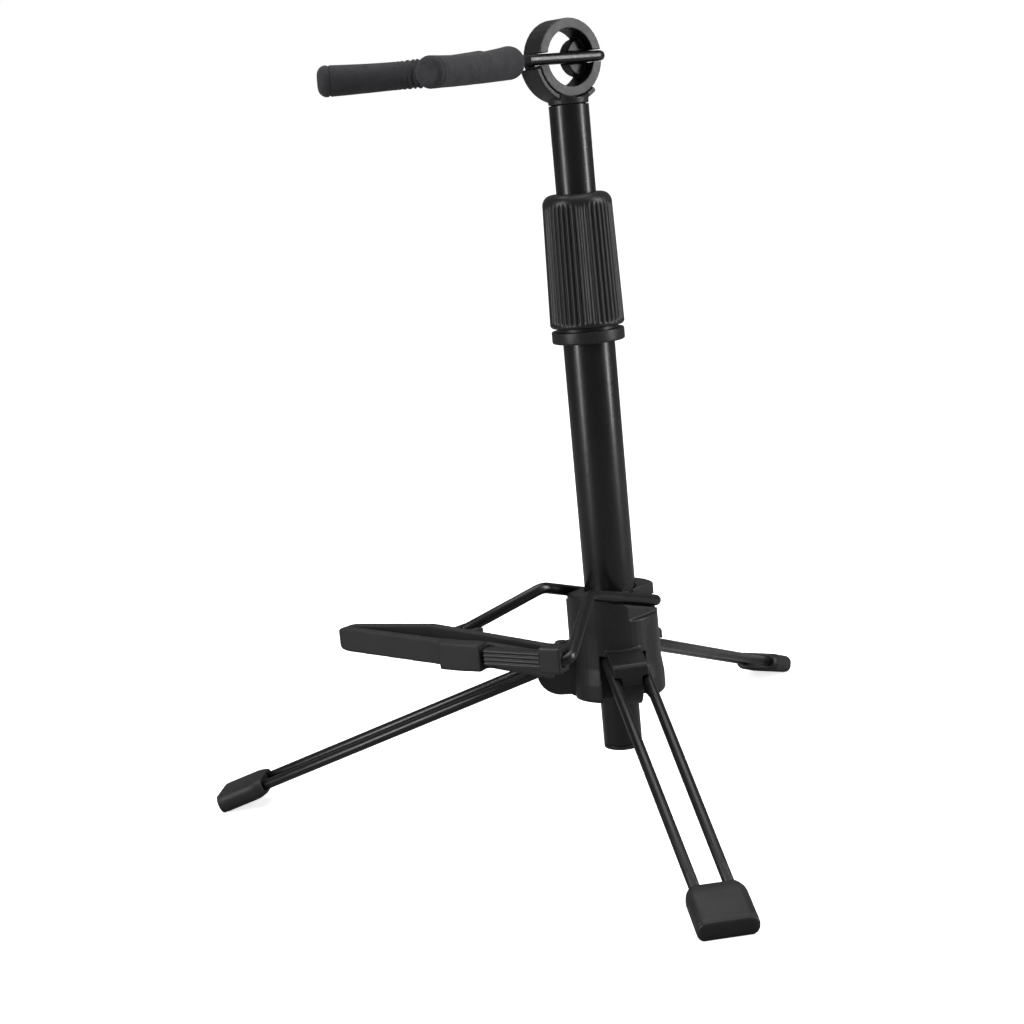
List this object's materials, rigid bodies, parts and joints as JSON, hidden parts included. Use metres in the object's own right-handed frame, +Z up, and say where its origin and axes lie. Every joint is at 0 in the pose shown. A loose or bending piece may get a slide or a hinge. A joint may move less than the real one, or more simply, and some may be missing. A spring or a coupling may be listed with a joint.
{
  "type": "saxophone stand",
  "caption": "Folding wind-instrument stand: wire tripod, telescopic mast with a ribbed clamp nut, a padded fork on a ring head and a low rubber cradle.",
  "frame": {"origin": "bottom centre of the whole stand as it stands unfolded, on the floor", "axes": "+Z up along the mast; -Y towards the front leg; +Y is the longest extent"},
  "size_m": [0.3078, 0.395, 0.3737],
  "materials": {
    "tube_paint": "satin-gloss black paint on steel tube and wire",
    "hub_plastic": "moulded charcoal nylon, fine satin grain",
    "grip_nylon": "moulded black nylon with ridges",
    "pad_rubber": "matt black rubber",
    "foam": "matt closed-cell foam rubber"
  },
  "bodies": {
    "base": {"hub_body": "hub_plastic", "outer_tube": "tube_paint", "threaded_collar": "hub_plastic"},
    "clamp_nut": {"clamp_nut": "hub_plastic"},
    "collet": {"collet": "grip_nylon"},
    "mast": {"inner_tube": "tube_paint", "tube_end_plug": "hub_plastic", "head_cup": "hub_plastic"},
    "fork": {"fork_drum": "hub_plastic", "fork_wire": "tube_paint", "foam_sleeve_near": "foam", "foam_sleeve_far": "foam"},
    "cradle": {"cradle_wire": "tube_paint", "cradle_pad": "pad_rubber", "cradle_socket_near": "grip_nylon", "cradle_socket_far": "grip_nylon", "cradle_grip": "grip_nylon", "cradle_end_knob": "grip_nylon"},
    "leg_front": {"leg_wire_front": "tube_paint", "foot_front": "pad_rubber"},
    "leg_left": {"leg_wire_left": "tube_paint", "foot_left": "pad_rubber"},
    "leg_right": {"leg_wire_right": "tube_paint", "foot_right": "pad_rubber"}
  },
  "joints": [
    {"name": "nut_turn", "type": "hinge", "parent": "base", "child": "clamp_nut", "pos_m": [0.0532, 0.00775, 0.2591], "axis": [0, 0, 1], "range_deg": [0, 180]},
    {"name": "mast_swivel", "type": "hinge", "parent": "base", "child": "collet", "pos_m": [0.0532, 0.00775, 0.2591], "axis": [0, 0, 1], "range_deg": [-180, 180]},
    {"name": "mast_slide", "type": "slide", "parent": "collet", "child": "mast", "axis": [0, 0, 1], "range_m": [-0.015, 0.12]},
    {"name": "fork_fold", "type": "hinge", "parent": "mast", "child": "fork", "pos_m": [0.0532, 0.00775, 0.3556], "axis": [-0.6088, 0.7934, 0], "range_deg": [0, 40]},
    {"name": "cradle_fold", "type": "hinge", "parent": "base", "child": "cradle", "pos_m": [0.06426, 0.02092, 0.0916], "axis": [-0.766, 0.6428, 0], "range_deg": [0, 65]},
    {"name": "leg_fold_front", "type": "hinge", "parent": "base", "child": "leg_front", "pos_m": [0.05563, -0.00604, 0.0706], "axis": [0.9848, 0.1736, 0], "range_deg": [0, 68]},
    {"name": "leg_fold_left", "type": "hinge", "parent": "base", "child": "leg_left", "pos_m": [0.03923, 0.00873, 0.0706], "axis": [-0.0698, -0.9976, 0], "range_deg": [0, 68]},
    {"name": "leg_fold_right", "type": "hinge", "parent": "base", "child": "leg_right", "pos_m": [0.05934, 0.02033, 0.0706], "axis": [-0.8988, 0.4384, 0], "range_deg": [0, 68]}
  ]
}
